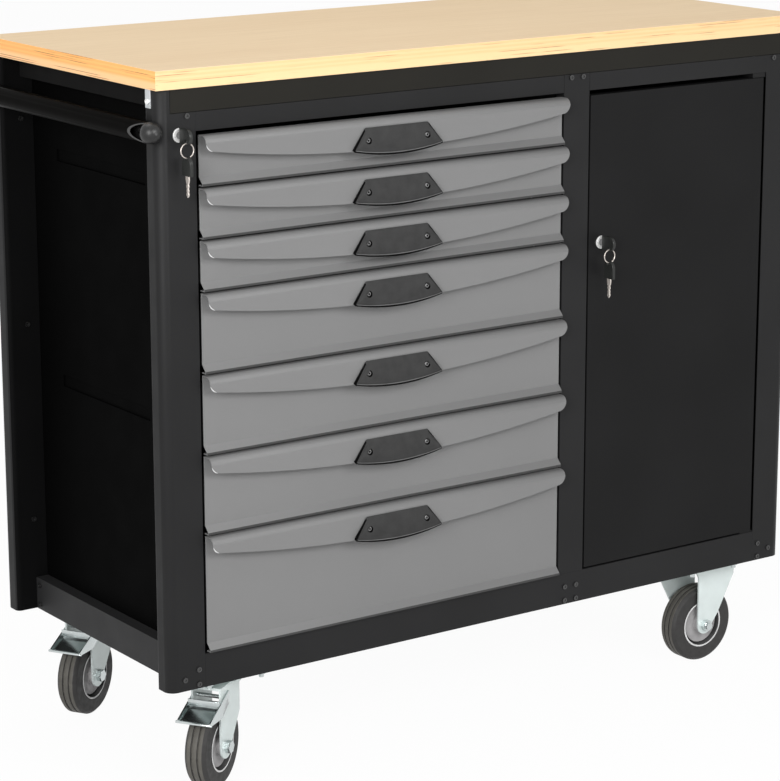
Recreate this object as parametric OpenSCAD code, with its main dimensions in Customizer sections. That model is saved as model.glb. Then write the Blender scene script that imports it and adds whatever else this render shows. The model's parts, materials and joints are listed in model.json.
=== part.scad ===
// Rolling tool cabinet: a bank of drawers beside a cupboard, under a wooden worktop, on four casters.
// Millimetres. X runs along the cabinet, the drawers open towards -Y, Z is up and the floor is Z = 0.

/* [Cabinet] */
// Width over the corner posts
cab_w = 1160; // [1080:10:1240]
// Depth from the front face to the rear face of the posts
cab_d = 494; // [480:2:540]
// Height from the floor to the top of the worktop
total_h = 1058; // [1040:2:1080]
// Height of the underside of the frame above the floor
base_h = 172; // [168:1:180]

/* [Worktop] */
// Thickness of the wooden worktop
worktop_t = 27; // [22:1:32]
// How far the worktop reaches past the posts at each end
worktop_side_over = 5; // [2:1:12]
// How far the worktop reaches past the front face
worktop_front_over = 6; // [2:1:12]

/* [Frame] */
// Width of a corner post seen from the front
post_w = 60; // [56:1:66]
// Depth of a corner post seen from the side
post_d = 36; // [34:1:42]
// Radius of a post's outer corner
post_r = 15; // [10:1:17]
// Radius of a post's other corner
post_back_r = 8; // [5:1:10]
// Thickness of the frame sheet
sheet_t = 1.5; // [1.2:0.1:2]
// How far a side panel lies inside the outer face of the posts
side_recess = 54; // [48:1:55]
// How far a lower side rail lies inside the outer face of the posts
rail_recess = 34; // [28:1:40]
// Height of the strip below the worktop
fascia_h = 33; // [28:1:38]
// Height of the rail above the drawers
top_rail_h = 27; // [24:1:32]
// Height of the rail below the drawers
bottom_rail_h = 50; // [44:1:56]
// Width of the upright between the drawers and the cupboard
stile_w = 48; // [44:1:60]

/* [Drawers] */
// Width of the opening that holds the drawers
drawer_open_w = 638; // [600:2:670]
// Spacing of the three shallow drawers
small_pitch = 73.5; // [70:0.5:76]
// Spacing of the three medium drawers
medium_pitch = 116.5; // [110:0.5:122]
// Gap between one drawer front and the next
drawer_gap = 3; // [2:0.5:4]
// Gap between a drawer front and the side of the opening
front_side_gap = 4; // [2:0.5:6]
// Thickness of a drawer front sheet
front_t = 1.5; // [1.2:0.1:2]
// How far the pull lip stands out from the drawer front
lip_depth = 20; // [16:1:24]
// Radius of the bend over the top of the lip
lip_r = 10; // [7:0.5:12]
// Height of the lip at its middle
lip_mid_h = 45; // [42:0.5:47]
// Height of the lip at its ends
lip_end_h = 20; // [19:1:26]
// How far the foot of a drawer front flares out
foot_out = 8.5; // [6:0.5:10]
// Length of a drawer box from front to back
box_len = 430; // [400:5:435]
// Thickness of a drawer box sheet
box_t = 1.2; // [1:0.1:1.6]

/* [Grips] */
// Width of a grip along its upper edge
grip_top_w = 105; // [90:1:120]
// Width of a grip along its lower edge
grip_bottom_w = 155; // [140:1:170]
// Thickness of a grip at its lower edge
grip_t = 11; // [8:0.5:12]
// Thickness of a grip at its upper edge
grip_top_t = 2; // [1.5:0.5:4]

/* [Door] */
// Thickness of the door
door_t = 17; // [15:1:18]
// Gap between the door and its opening on the lock side and below
door_gap = 3; // [2.5:0.5:4]
// Gap between the door and its opening on the hinge side
door_hinge_gap = 5; // [5:0.5:7]
// Gap between the door and its opening above it
door_top_gap = 8; // [5:0.5:9]
// Diameter of the hinge pins
hinge_pin_d = 6; // [5:0.5:7]

/* [Locks] */
// Diameter of a lock face
lock_d = 20; // [18:1:24]
// Height of the door lock above the floor
door_lock_z = 738; // [640:2:840]

/* [Handle] */
// Diameter of the push handle tube
handle_d = 30; // [26:1:32]
// Distance of the push handle's axis below the worktop
handle_drop = 55; // [46:1:70]

/* [Casters] */
// Diameter of a wheel
wheel_d = 125; // [110:1:130]
// Width of a tyre
tyre_w = 34; // [30:1:36]
// Distance of the swivel axes from the left end of the cabinet
caster_x = 126; // [118:1:140]
// Distance of the fixed axles from the right end of the cabinet
fixed_x = 120; // [118:1:140]
// Distance of the front caster axes from the front face
caster_y = 66; // [62:1:75]
// Offset of a swivel wheel's axle from its swivel axis
trail = 36; // [30:1:40]
// Turn of the front swivel caster
swivel_front = 34; // [0:1:45]
// Turn of the rear swivel caster
swivel_rear = 32; // [0:1:45]

/* [Hidden] */
$fn = 48;
touch = 0.01;
cut = 1;
run_clear = 0.05;
quarter = 90;
half_turn = 180;
hex_sides = 6;
arc_facets = 360;
frame_color = [0.2, 0.2, 0.21];
panel_color = [0.06, 0.06, 0.06];
front_color = [0.55, 0.55, 0.55];
wood_color = [0.86, 0.76, 0.58];
zinc_color = [0.8, 0.84, 0.83];
plastic_color = [0.24, 0.24, 0.25];
rubber_color = [0.13, 0.12, 0.12];
hub_color = [0.55, 0.55, 0.56];
steel_color = [0.75, 0.75, 0.76];
black_color = [0.05, 0.05, 0.05];

// Levels and positions of the front openings
worktop_z = total_h - worktop_t;
fascia_z = worktop_z - fascia_h;
open_top = fascia_z - top_rail_h;
open_bottom = base_h + bottom_rail_h;
stile_x = post_w + drawer_open_w;
door_x0 = stile_x + stile_w;
door_x1 = cab_w - post_w;
panel_in = side_recess + sheet_t;
divider_x = stile_x + post_w - panel_in;
mid_seam = 0.5;
fascia_step = 5;
post_flat = post_d - post_r - post_back_r;
weld = 0.02;

// Drawers
first_gap = 5.5;
last_gap = 2.5;
front_w = drawer_open_w - 2 * front_side_gap;
front_x = post_w + front_side_gap;
first_top = open_top - first_gap;
slide_clear = 0.3;
slide_t = 13.2;
slide_web = 1.5;
slide_h = 35;
slide_drop = 35;
slide_y = 26;
slide_len = 428;
runner_t = 8.5;
runner_h = 26;
box_x = panel_in + slide_t + slide_clear;
box_w = divider_x - panel_in - 2 * (slide_t + slide_clear);
box_lift = 8;
box_drop = 14;
lip_corner_r = 14;
lip_sag = lip_mid_h - lip_end_h;
lip_arc_r = (front_w * front_w / 4 + lip_sag * lip_sag) / (2 * lip_sag);
lip_arc_z = lip_arc_r - lip_mid_h;
lip_fillet_x = front_w / 2 - lip_corner_r;
lip_fillet_z = lip_arc_z - sqrt(pow(lip_arc_r - lip_corner_r, 2) - pow(lip_fillet_x, 2));
lip_reach = lip_arc_r / (lip_arc_r - lip_corner_r);
lip_tangent_x = lip_fillet_x * lip_reach;
lip_tangent_z = lip_arc_z - (lip_arc_z - lip_fillet_z) * lip_reach;
foot_h = 12.5;
foot_slope = 9;
grip_drop = 11;
grip_side_h = 32;
grip_sag = 8.5;
grip_past = 1.4;
grip_arc_r = (grip_bottom_w * grip_bottom_w / 4 + grip_sag * grip_sag) / (2 * grip_sag);
grip_screw_x = 51;
grip_screw_drop = 18;
grip_hole_d = 8;
grip_hole_depth = 2.5;
grip_h = grip_side_h + grip_sag;
grip_screw_t = grip_top_t + (grip_t - grip_top_t) * grip_screw_drop / grip_h - grip_hole_depth;
grip_hook = 9;
grip_hook_t = 2.5;
grip_hook_w = 84;
grip_screw_d = 6.5;
grip_screw_h = 1.8;

function drawer_top(i) = first_top - small_pitch * min(i, 3) - medium_pitch * max(i - 3, 0);
function drawer_end(i) = i < 6 ? drawer_top(i + 1) + drawer_gap : open_bottom + last_gap;
function drawer_h(i) = drawer_top(i) - drawer_end(i);

// Door
leaf_x0 = door_x0 + door_gap;
leaf_x1 = door_x1 - door_hinge_gap;
leaf_z0 = open_bottom + door_gap;
leaf_z1 = open_top - door_top_gap;
leaf_sheet = 1.2;
pivot_in = door_t / 2;
pivot_x = leaf_x1 - pivot_in;
pivot_y = door_t / 2;
hinge_plate_w = 26;
hinge_plate_d = 22;
hinge_float = 0.5;
hinge_pin_h = 8;
door_lock_in = 23;
door_lock_x = leaf_x0 + door_lock_in;

// Locks and keys
lock_face_t = 3;
lock_body_d = 15;
lock_body_len = 22;
lock_plug_d = 10;
lock_cam_t = 2;
lock_cam_w = 12;
lock_cam_len = 24;
lock_hole_clear = 0.2;
drawer_lock_x = 33;
drawer_lock_drop = 30;
drawer_lock_z = fascia_z - drawer_lock_drop;
lock_front_gap = 0.5;
key_blade_w = 7;
key_blade_t = 2;
key_blade_len = 3;
key_head_w = 22;
key_head_len = 27;
key_head_t = 5;
key_hole_d = 6;
key_hole_drop = 7;
key_ring_r = 10;
key_ring_wire = 0.9;
key_ring_gap = 0.55;
key_ring_seat = 0.55;
key_ring_sink = key_hole_d / 2 - key_ring_wire - key_ring_gap;
spare_sink = key_hole_d / 2 - key_ring_wire - key_ring_seat;
spare_blade_w = 8.5;
spare_blade_len = 30;

// Handle
handle_x = -handle_d / 2;
handle_z = worktop_z - handle_drop;
handle_wall = 1.5;
handle_front_y = -8;
handle_cap_len = 3.5;
handle_plug_clear = 0.05;
handle_slant_len = 34;
handle_slant_depth = 9.6;
handle_tongue_len = 50;
handle_tongue_x = 3;
handle_screw_y = 38;
handle_screw_d = 10;
handle_screw_h = 3;

// Casters
plate_t = 3;
plate_x = 120;
plate_y = 104;
plate_hole_x = 88;
plate_hole_y = 80;
bolt_d = 8;
nut_d = 13;
nut_t = 6.5;
bolt_end = 5;
caster_rear_in = 52;
caster_y_rear = cab_d - caster_rear_in;
wheel_r = wheel_d / 2;
tyre_in_share = 0.62;
tyre_in_r = wheel_r * tyre_in_share;
groove_w = 2;
groove_t = 2;
groove_at = 5;
tyre_shoulder = 5;
rim_t = 3;
hub_web = 10;
hub_disc_share = 0.51;
hub_disc_r = wheel_r * hub_disc_share;
hub_disc = 24;
hub_boss_r = 14;
hub_half = 20;
axle_d = 12;
axle_nut_d = 19;
axle_nut_t = 8;
axle_end = 4;
fork_t = 3;
fork_clear = 0.6;
fork_gap = hub_half + fork_clear;
fork_side = fork_gap + fork_t;
race_h = 12;
race_r = 30;
race_gap = 0.6;
kingpin_d = 12;
kingpin_head_d = 18;
kingpin_head_t = 4;
crown_t = 4;
crown_z = base_h - plate_t - race_h - race_gap - crown_t;
swivel_boss_r = 18;
leg_back = 12;
leg_knee = 42;
fixed_boss_r = 15;
fixed_fillet = 12;
fixed_flare = 60;
fixed_flare_z = 79;
fixed_waist = 27;
fixed_waist_z = 16;
fixed_crown_z = base_h - plate_t - crown_t;
pedal_pin_d = 6;
pedal_u = 38;
pedal_drop = 14;
pedal_z = crown_z - pedal_drop;
pedal_back = 8;
pedal_tip = 59;
pedal_gap = 0.6;
pedal_t = 2;
pedal_top = 9;
pedal_low = 26;
pedal_low_u = 18;
pedal_back_low = 10;
pedal_tip_top = 20;
pedal_tip_low = 25;
pedal_floor_u = 22;
pedal_floor_z = 10;
pedal_floor_end = 23;
pedal_lip_r = 2;
pedal_lip_ear = 2;

// Screws
screw_d = 8;
screw_h = 2;
screw_socket_d = 4;
screw_socket_h = 1;

// Centre of the bounding box
key_reach = lock_face_t + key_blade_len + key_head_len;
box_x_min = handle_x - handle_d / 2;
box_x_max = cab_w + worktop_side_over;
box_y_min = min(-key_reach, handle_front_y - handle_d / 2);
box_y_max = cab_d - handle_front_y + handle_d / 2;
mid_x = (box_x_min + box_x_max) / 2;
mid_y = (box_y_min + box_y_max) / 2;

// Node to draw

module placed() {
  translate([-mid_x, -mid_y, 0]) children();
}

module block(low, high) {
  translate(low) cube(high - low);
}

// Copies a left-hand shape to the right-hand end
module both_ends() {
  children();
  translate([cab_w, 0, 0]) mirror([1, 0, 0]) children();
}

// Copies a front shape to the rear
module flip_rear() {
  translate([0, cab_d, 0]) mirror([0, 1, 0]) children();
}

module rounded_outline(inset) {
  translate([post_r, inset]) square([post_w - post_r, post_d - 2 * inset]);
  translate([inset, post_r]) square([post_r, post_flat]);
  translate([post_back_r, post_r]) square([post_r, post_d - post_r - inset]);
  translate([post_r, post_r]) circle(r = post_r - inset);
  translate([post_back_r, post_d - post_back_r]) circle(r = post_back_r - inset);
}

// One left post: a channel with a rounded outer side
module post_shell() {
  translate([0, 0, base_h]) linear_extrude(worktop_z - base_h) {
    difference() {
      rounded_outline(0);
      rounded_outline(sheet_t);
      translate([post_w - cut, sheet_t]) square([2 * cut, post_d - 2 * sheet_t]);
      translate([side_recess, post_d - sheet_t - cut]) square([post_w, sheet_t + 2 * cut]);
    }
  }
}

// A front post, cut back at the top where the strip below the worktop runs past it
module front_post() {
  difference() {
    post_shell();
    block([post_r + fascia_step, -cut, fascia_z - mid_seam], [post_w + cut, sheet_t + cut, total_h]);
  }
}

module worktop() {
  color(wood_color) placed() {
    block([-worktop_side_over, -worktop_front_over, worktop_z], [cab_w + worktop_side_over, cab_d, total_h]);
  }
}

module top_fascia() {
  x0 = post_r + fascia_step + mid_seam;
  color(frame_color) placed() {
    block([x0, 0, fascia_z], [cab_w - x0, sheet_t, worktop_z]);
    block([x0, sheet_t - touch, worktop_z - sheet_t], [cab_w - x0, fascia_flange, worktop_z]);
  }
}

fascia_flange = 30;

module corner_posts() {
  color(frame_color) placed() {
    difference() {
      front_post();
      translate([drawer_lock_x, -cut, drawer_lock_z]) rotate([-quarter, 0, 0])
        cylinder(d = lock_body_d + lock_hole_clear, h = sheet_t + 2 * cut);
    }
    translate([cab_w, 0, 0]) mirror([1, 0, 0]) front_post();
    flip_rear() both_ends() post_shell();
  }
}

module front_top_rails() {
  color(frame_color) placed() {
    top_rail(post_w, stile_x - mid_seam);
    top_rail(stile_x + stile_w + mid_seam, cab_w - post_w);
  }
}

rail_flange = 30;

module top_rail(x0, x1) {
  block([x0, 0, open_top], [x1, sheet_t, fascia_z - mid_seam]);
  block([x0, sheet_t - touch, open_top], [x1, rail_flange, open_top + sheet_t]);
}

module front_bottom_rail() {
  color(frame_color) placed() {
    block([post_w, 0, base_h], [cab_w - post_w, sheet_t, open_bottom]);
    block([post_w, sheet_t - touch, open_bottom - sheet_t], [cab_w - post_w, rail_flange, open_bottom]);
  }
}

stile_flange = 20;

module center_stile() {
  color(frame_color) placed() {
    block([stile_x, 0, open_bottom], [stile_x + stile_w, sheet_t, fascia_z - mid_seam]);
    for (x = [stile_x, stile_x + stile_w - sheet_t]) {
      block([x, sheet_t - touch, open_bottom], [x + sheet_t, stile_flange, open_top]);
    }
  }
}

bar_y0 = 130;
bar_y1 = 388;
bar_h = 18;
bar_depth = 3;
bar_1_drop = 161;
bar_2_drop = 503;
panel_z0 = open_bottom;

module side_panel() {
  y0 = post_d;
  y1 = cab_d - post_d;
  difference() {
    union() {
      block([side_recess, y0, panel_z0], [panel_in, y1, worktop_z]);
      for (drop = [bar_1_drop, bar_2_drop]) {
        z1 = total_h - drop;
        block(
          [side_recess, bar_y0 - sheet_t, z1 - bar_h - sheet_t],
          [panel_in + bar_depth, bar_y1 + sheet_t, z1 + sheet_t]
        );
      }
    }
    for (drop = [bar_1_drop, bar_2_drop]) {
      z1 = total_h - drop;
      block([side_recess - cut, bar_y0, z1 - bar_h], [side_recess + bar_depth, bar_y1, z1]);
    }
  }
}

module side_panels() {
  color(panel_color) placed() both_ends() side_panel();
}

module side_rails() {
  y0 = post_d;
  y1 = cab_d - post_d;
  color(frame_color) placed() both_ends() {
    block([rail_recess, y0, base_h], [rail_recess + sheet_t, y1, open_bottom]);
    block([rail_recess + sheet_t - touch, y0, open_bottom - sheet_t], [panel_in, y1, open_bottom]);
    block([rail_recess, y0, fascia_z], [rail_recess + sheet_t, y1, worktop_z]);
    block([rail_recess + sheet_t - touch, y0, worktop_z - sheet_t], [side_recess, y1, worktop_z]);
  }
}

back_y = cab_d - sheet_t;

module back_panel() {
  color(panel_color) placed() {
    block([post_w, back_y - touch, base_h], [cab_w - post_w, cab_d, worktop_z]);
    block([panel_in, back_y - sheet_t, base_h], [cab_w - panel_in, back_y, worktop_z]);
  }
}

module floor_panel() {
  color(panel_color) placed() {
    difference() {
      block([panel_in, sheet_t, base_h], [cab_w - panel_in, back_y - sheet_t, base_h + sheet_t]);
      caster_spots() bolt_grid() translate([0, 0, -cut]) cylinder(d = bolt_d, h = sheet_t + 2 * cut);
    }
  }
}

module divider_panel() {
  color(panel_color) placed() {
    block([divider_x, rail_flange, base_h + sheet_t], [divider_x + sheet_t, back_y - sheet_t, worktop_z]);
  }
}

bracket_h = 26;
bracket_t = 2;
bracket_y0 = 15;
bracket_screw_drop = 17;

// Zinc angles that hold the worktop to the posts
module worktop_brackets() {
  y0 = bracket_y0;
  color(zinc_color) placed() {
    for (rear = [0, 1]) {
      translate([0, rear * cab_d, 0]) mirror([0, rear, 0]) both_ends() {
        block([-bracket_t, y0, worktop_z - bracket_h], [0, y0 + post_flat, worktop_z]);
      }
    }
  }
}

// A round screw head with a six-sided socket
module socket_head(d, h) {
  difference() {
    cylinder(d = d, h = h);
    translate([0, 0, h - screw_socket_h])
      cylinder(d = screw_socket_d, h = screw_socket_h + cut, $fn = hex_sides);
  }
}

// A screw head standing out along -Y
module pan_head(x, z) {
  translate([x, 0, z]) rotate([quarter, 0, 0]) socket_head(screw_d, screw_h);
}

top_screw_x = 46;
top_screw_drop = 5;
foot_screw_x = 49;
foot_screw_in = 26;
foot_screw_low = 6.5;
foot_screw_mid = 17;
foot_screw_high = 28.5;
stile_screw = 11;
rear_screw_x = 33;
rear_screw_zs = [0.167, 0.524, 0.889];
rail_screw_zs = [8.5, 39.5];
rail_screw_in = 12;

module frame_screws() {
  stile_mid = stile_x + stile_w / 2;
  color(steel_color) placed() {
    both_ends() {
      pan_head(top_screw_x, fascia_z - top_screw_drop);
      pan_head(foot_screw_x, base_h + foot_screw_low);
      pan_head(foot_screw_x, base_h + foot_screw_high);
      pan_head(foot_screw_in, base_h + foot_screw_mid);
      translate([0, cab_d - post_d, 0]) {
        for (f = rear_screw_zs) pan_head(rear_screw_x, base_h + f * (worktop_z - base_h));
      }
      for (y = [post_d + rail_screw_in, cab_d - post_d - rail_screw_in]) for (dz = rail_screw_zs)
        translate([rail_recess, y, base_h + dz]) rotate([0, 0, -quarter]) pan_head(0, 0);
      for (y = [bracket_y0 + post_flat / 2, cab_d - bracket_y0 - post_flat / 2])
        translate([-bracket_t, y, worktop_z - bracket_screw_drop]) rotate([0, 0, -quarter]) pan_head(0, 0);
    }
    for (dx = [-stile_screw, stile_screw]) {
      pan_head(stile_mid + dx, fascia_z - top_screw_drop);
      pan_head(stile_mid + dx, base_h + foot_screw_low);
      pan_head(stile_mid + dx, base_h + foot_screw_high);
    }
  }
}

// Outer member of one left-hand slide, its axis at the given height
module slide_channel(z) {
  difference() {
    block(
      [panel_in, slide_y, z - slide_h / 2],
      [panel_in + slide_t - slide_clear, slide_y + slide_len, z + slide_h / 2]
    );
    block(
      [panel_in + slide_web, slide_y - cut, z - slide_h / 2 + slide_web],
      [panel_in + slide_t + cut, slide_y + slide_len + cut, z + slide_h / 2 - slide_web]
    );
  }
}

module bank_ends() {
  children();
  translate([panel_in + divider_x, 0, 0]) mirror([1, 0, 0]) children();
}

module drawer_slides() {
  color(zinc_color) placed() {
    bank_ends() for (i = [0:6]) slide_channel(drawer_top(i) - slide_drop);
  }
}

module drawer_box(i) {
  z0 = drawer_end(i) + box_lift;
  z1 = drawer_top(i) - box_drop;
  zs = drawer_top(i) - slide_drop;
  y1 = front_t + box_len;
  color(panel_color) placed() {
    difference() {
      block([box_x, front_t, z0], [box_x + box_w, y1, z1]);
      block([box_x + box_t, front_t + box_t, z0 + box_t], [box_x + box_w - box_t, y1 - box_t, z1 + cut]);
    }
    bank_ends() {
      block(
        [box_x - runner_t, slide_y, zs - runner_h / 2],
        [box_x - weld, slide_y + slide_len, zs + runner_h / 2]
      );
    }
  }
}

// Section of a drawer front, seen along X, with its top edge at zero height
module front_section(h) {
  foot_z = foot_h - h;
  step_z = foot_z - foot_slope;
  translate([0, foot_z]) square([front_t, h - foot_h]);
  translate([lip_r - lip_depth, -front_t]) square([lip_depth - lip_r + front_t, front_t]);
  translate([lip_r - lip_depth, -lip_r]) intersection() {
    difference() {
      circle(r = lip_r);
      circle(r = lip_r - front_t);
    }
    translate([-lip_r, 0]) square(lip_r);
  }
  translate([-lip_depth, -lip_mid_h]) square([front_t, lip_mid_h - lip_r]);
  polygon([
    [front_t, foot_z],
    [0, foot_z],
    [-foot_out, step_z],
    [-foot_out, -h],
    [front_t, -h],
    [front_t, front_t - h],
    [front_t - foot_out, front_t - h],
    [front_t - foot_out, step_z],
  ]);
}

// What is cut from the lip below its curved lower edge, seen from the front
module lip_cut() {
  side = front_w / 2 + cut;
  difference() {
    translate([-side, -lip_mid_h - cut]) square([2 * side, lip_mid_h + cut - lip_r]);
    translate([0, lip_arc_z]) circle(r = lip_arc_r, $fn = arc_facets);
  }
  for (s = [0, 1]) mirror([s, 0]) difference() {
    polygon([
      [lip_fillet_x, lip_fillet_z],
      [side, lip_fillet_z],
      [side, lip_tangent_z],
      [lip_tangent_x, lip_tangent_z],
    ]);
    translate([lip_fillet_x, lip_fillet_z]) circle(r = lip_corner_r);
  }
}

module drawer_front(i) {
  mid = front_x + front_w / 2;
  color(front_color) placed() translate([0, 0, drawer_top(i)]) {
    difference() {
      translate([front_x, 0, 0]) rotate([quarter, 0, quarter])
        linear_extrude(front_w) front_section(drawer_h(i));
      translate([mid, -front_t, 0]) rotate([quarter, 0, 0]) linear_extrude(lip_depth) lip_cut();
    }
  }
}

// Outline of a grip seen from the front, its upper edge at zero height
module grip_outline() {
  past = grip_past * (grip_bottom_w - grip_top_w) / 2;
  intersection() {
    polygon([
      [-grip_top_w / 2 - past, -grip_past * grip_side_h],
      [-grip_top_w / 2, 0],
      [grip_top_w / 2, 0],
      [grip_top_w / 2 + past, -grip_past * grip_side_h],
    ]);
    translate([0, grip_arc_r - grip_h]) circle(r = grip_arc_r, $fn = arc_facets);
  }
}

// What is cut from the face of a grip so that it slopes out to its lower edge, seen along X
module grip_slope() {
  slope = (grip_t - grip_top_t) / grip_h;
  polygon([
    [-grip_t - slope * cut, -grip_h - cut],
    [-grip_top_t + slope * cut, cut],
    [-grip_t - cut, cut],
    [-grip_t - cut, -grip_h - cut],
  ]);
}

module drawer_grip(i) {
  mid = front_x + front_w / 2;
  hook_z = -lip_mid_h - slide_clear;
  color(plastic_color) placed() translate([mid, -lip_depth, drawer_top(i)]) {
    translate([0, 0, -grip_drop]) {
      difference() {
        rotate([quarter, 0, 0]) linear_extrude(grip_t) grip_outline();
        translate([-grip_bottom_w, 0, 0]) rotate([quarter, 0, quarter])
          linear_extrude(2 * grip_bottom_w) grip_slope();
        for (s = [-1, 1]) translate([s * grip_screw_x, -grip_t - cut, -grip_screw_drop])
          rotate([-quarter, 0, 0]) cylinder(d = grip_hole_d, h = grip_t + cut - grip_screw_t);
      }
      for (s = [-1, 1]) translate([s * grip_screw_x, -grip_screw_t - weld, -grip_screw_drop])
        rotate([quarter, 0, 0]) socket_head(grip_screw_d, grip_screw_h);
    }
    block([-grip_hook_w / 2, -cut, hook_z - grip_hook_t], [grip_hook_w / 2, grip_hook, hook_z]);
  }
}

module drawer_1_box() {
  drawer_box(0);
}

module drawer_1_front() {
  drawer_front(0);
}

module drawer_1_grip() {
  drawer_grip(0);
}

module drawer_2_box() {
  drawer_box(1);
}

module drawer_2_front() {
  drawer_front(1);
}

module drawer_2_grip() {
  drawer_grip(1);
}

module drawer_3_box() {
  drawer_box(2);
}

module drawer_3_front() {
  drawer_front(2);
}

module drawer_3_grip() {
  drawer_grip(2);
}

module drawer_4_box() {
  drawer_box(3);
}

module drawer_4_front() {
  drawer_front(3);
}

module drawer_4_grip() {
  drawer_grip(3);
}

module drawer_5_box() {
  drawer_box(4);
}

module drawer_5_front() {
  drawer_front(4);
}

module drawer_5_grip() {
  drawer_grip(4);
}

module drawer_6_box() {
  drawer_box(5);
}

module drawer_6_front() {
  drawer_front(5);
}

module drawer_6_grip() {
  drawer_grip(5);
}

module drawer_7_box() {
  drawer_box(6);
}

module drawer_7_front() {
  drawer_front(6);
}

module drawer_7_grip() {
  drawer_grip(6);
}

module door_leaf() {
  color(panel_color) placed() {
    difference() {
      block([leaf_x0, 0, leaf_z0], [leaf_x1, door_t, leaf_z1]);
      block(
        [leaf_x0 + leaf_sheet, leaf_sheet, leaf_z0 + leaf_sheet],
        [leaf_x1 - leaf_sheet, door_t + cut, leaf_z1 - leaf_sheet]
      );
      translate([pivot_x, pivot_y, leaf_z0 - cut])
        cylinder(d = hinge_pin_d + 2 * run_clear, h = leaf_z1 - leaf_z0 + 2 * cut);
      translate([door_lock_x, -cut, door_lock_z]) rotate([-quarter, 0, 0])
        cylinder(d = lock_body_d + lock_hole_clear, h = leaf_sheet + 2 * cut);
    }
  }
}

// Two plates on the rails, each with a pin on which the door turns
module door_hinges() {
  x0 = pivot_x - hinge_plate_w / 2;
  x1 = min(pivot_x + hinge_plate_w / 2, door_x1);
  y0 = sheet_t;
  y1 = sheet_t + hinge_plate_d;
  color(frame_color) placed() {
    block([x0, y0, open_bottom], [x1, y1, leaf_z0 - hinge_float]);
    translate([pivot_x, pivot_y, leaf_z0 - hinge_float - touch])
      cylinder(d = hinge_pin_d, h = hinge_pin_h + hinge_float);
    block([x0, y0, leaf_z1 + hinge_float], [x1, y1, open_top]);
    translate([pivot_x, pivot_y, leaf_z1 - hinge_pin_h])
      cylinder(d = hinge_pin_d, h = hinge_pin_h + hinge_float + touch);
  }
}

// Places a lock at a point on the front, its own Z axis towards -Y
module lock_at(x, z) {
  translate([x, 0, z]) rotate([quarter, 0, 0]) children();
}

module lock_barrel() {
  difference() {
    union() {
      cylinder(d = lock_d, h = lock_face_t);
      translate([0, 0, -lock_body_len]) cylinder(d = lock_body_d, h = lock_body_len + touch);
    }
    translate([0, 0, -lock_body_len - cut])
      cylinder(d = lock_plug_d + 2 * run_clear, h = lock_body_len + lock_face_t + 2 * cut);
  }
}

// A moulded key head along Z, round at its far end, with a hole beside the middle of that end
module key_head() {
  end_z = key_head_len - key_head_w / 2;
  side = key_head_w / 2 - touch;
  difference() {
    union() {
      block([-key_head_t / 2, -side, 0], [key_head_t / 2, side, end_z]);
      translate([-key_head_t / 2, 0, end_z]) rotate([0, quarter, 0]) cylinder(d = key_head_w, h = key_head_t);
    }
    children();
  }
}

module key_hole(y, z) {
  translate([-key_head_t, y, z]) rotate([0, quarter, 0]) cylinder(d = key_hole_d, h = 2 * key_head_t);
}

// The turning plug with its cam, and the key in it
module lock_key() {
  head_z = lock_face_t + key_blade_len;
  translate([0, 0, -lock_body_len - lock_front_gap])
    cylinder(d = lock_plug_d, h = lock_body_len + lock_face_t);
  translate([0, 0, -lock_body_len - lock_front_gap - lock_cam_t]) {
    cylinder(d = lock_body_d, h = lock_cam_t);
    translate([-lock_cam_w / 2, 0, 0]) cube([lock_cam_w, lock_cam_len, lock_cam_t]);
  }
  block(
    [-key_blade_t / 2, -key_blade_w / 2, lock_face_t - lock_front_gap],
    [key_blade_t / 2, key_blade_w / 2, head_z + key_blade_t]
  );
  translate([0, 0, head_z]) key_head() key_hole(-key_hole_drop, key_head_len - key_head_w / 2);
}

// The ring through the key's head with a spare key hanging from it
module key_ring() {
  hole_z = lock_face_t + key_blade_len + key_head_len - key_head_w / 2;
  ring_y = -key_hole_drop - key_ring_sink - key_ring_r;
  spare_y = ring_y - key_ring_r - spare_sink - key_hole_drop - key_head_len + key_head_w / 2;
  translate([0, ring_y, hole_z]) rotate_extrude() translate([key_ring_r, 0]) circle(r = key_ring_wire);
  translate([0, spare_y, hole_z]) {
    rotate([-quarter, 0, 0]) key_head() key_hole(0, key_head_len - key_head_w / 2 + key_hole_drop);
    block(
      [-key_blade_t / 2, -spare_blade_len, -spare_blade_w / 2],
      [key_blade_t / 2, key_blade_t, spare_blade_w / 2]
    );
  }
}

module drawer_lock_barrel() {
  color(steel_color) placed() lock_at(drawer_lock_x, drawer_lock_z) lock_barrel();
}

module drawer_lock_key() {
  color(black_color) placed() lock_at(drawer_lock_x, drawer_lock_z) lock_key();
}

module drawer_key_ring() {
  color(black_color) placed() lock_at(drawer_lock_x, drawer_lock_z) key_ring();
}

module door_lock_barrel() {
  color(steel_color) placed() lock_at(door_lock_x, door_lock_z) lock_barrel();
}

module door_lock_key() {
  color(black_color) placed() lock_at(door_lock_x, door_lock_z) lock_key();
}

module door_key_ring() {
  color(black_color) placed() lock_at(door_lock_x, door_lock_z) key_ring();
}

// Turns a shape so that its Z axis runs along the handle, from its front end
module along_handle() {
  translate([handle_x, handle_front_y, handle_z]) rotate([-quarter, 0, 0]) children();
}

handle_len = cab_d - 2 * handle_front_y;
bore_d = handle_d - 2 * handle_wall;

// Wedge cut from the outer side of the tube at its front end
module handle_slant() {
  side = -handle_d / 2;
  along_handle() rotate([quarter, 0, 0]) linear_extrude(2 * handle_d, center = true) polygon([
    [side - cut, handle_cap_len - cut],
    [side + handle_slant_depth, handle_cap_len - cut],
    [side + handle_slant_depth, handle_cap_len],
    [side, handle_cap_len + handle_slant_len],
    [side - cut, handle_cap_len + handle_slant_len],
  ]);
}

module push_handle() {
  color(frame_color) placed() difference() {
    along_handle() translate([0, 0, handle_cap_len])
      cylinder(d = handle_d, h = handle_len - 2 * handle_cap_len);
    along_handle() cylinder(d = bore_d, h = handle_len);
    handle_slant();
    flip_rear() handle_slant();
  }
}

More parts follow.
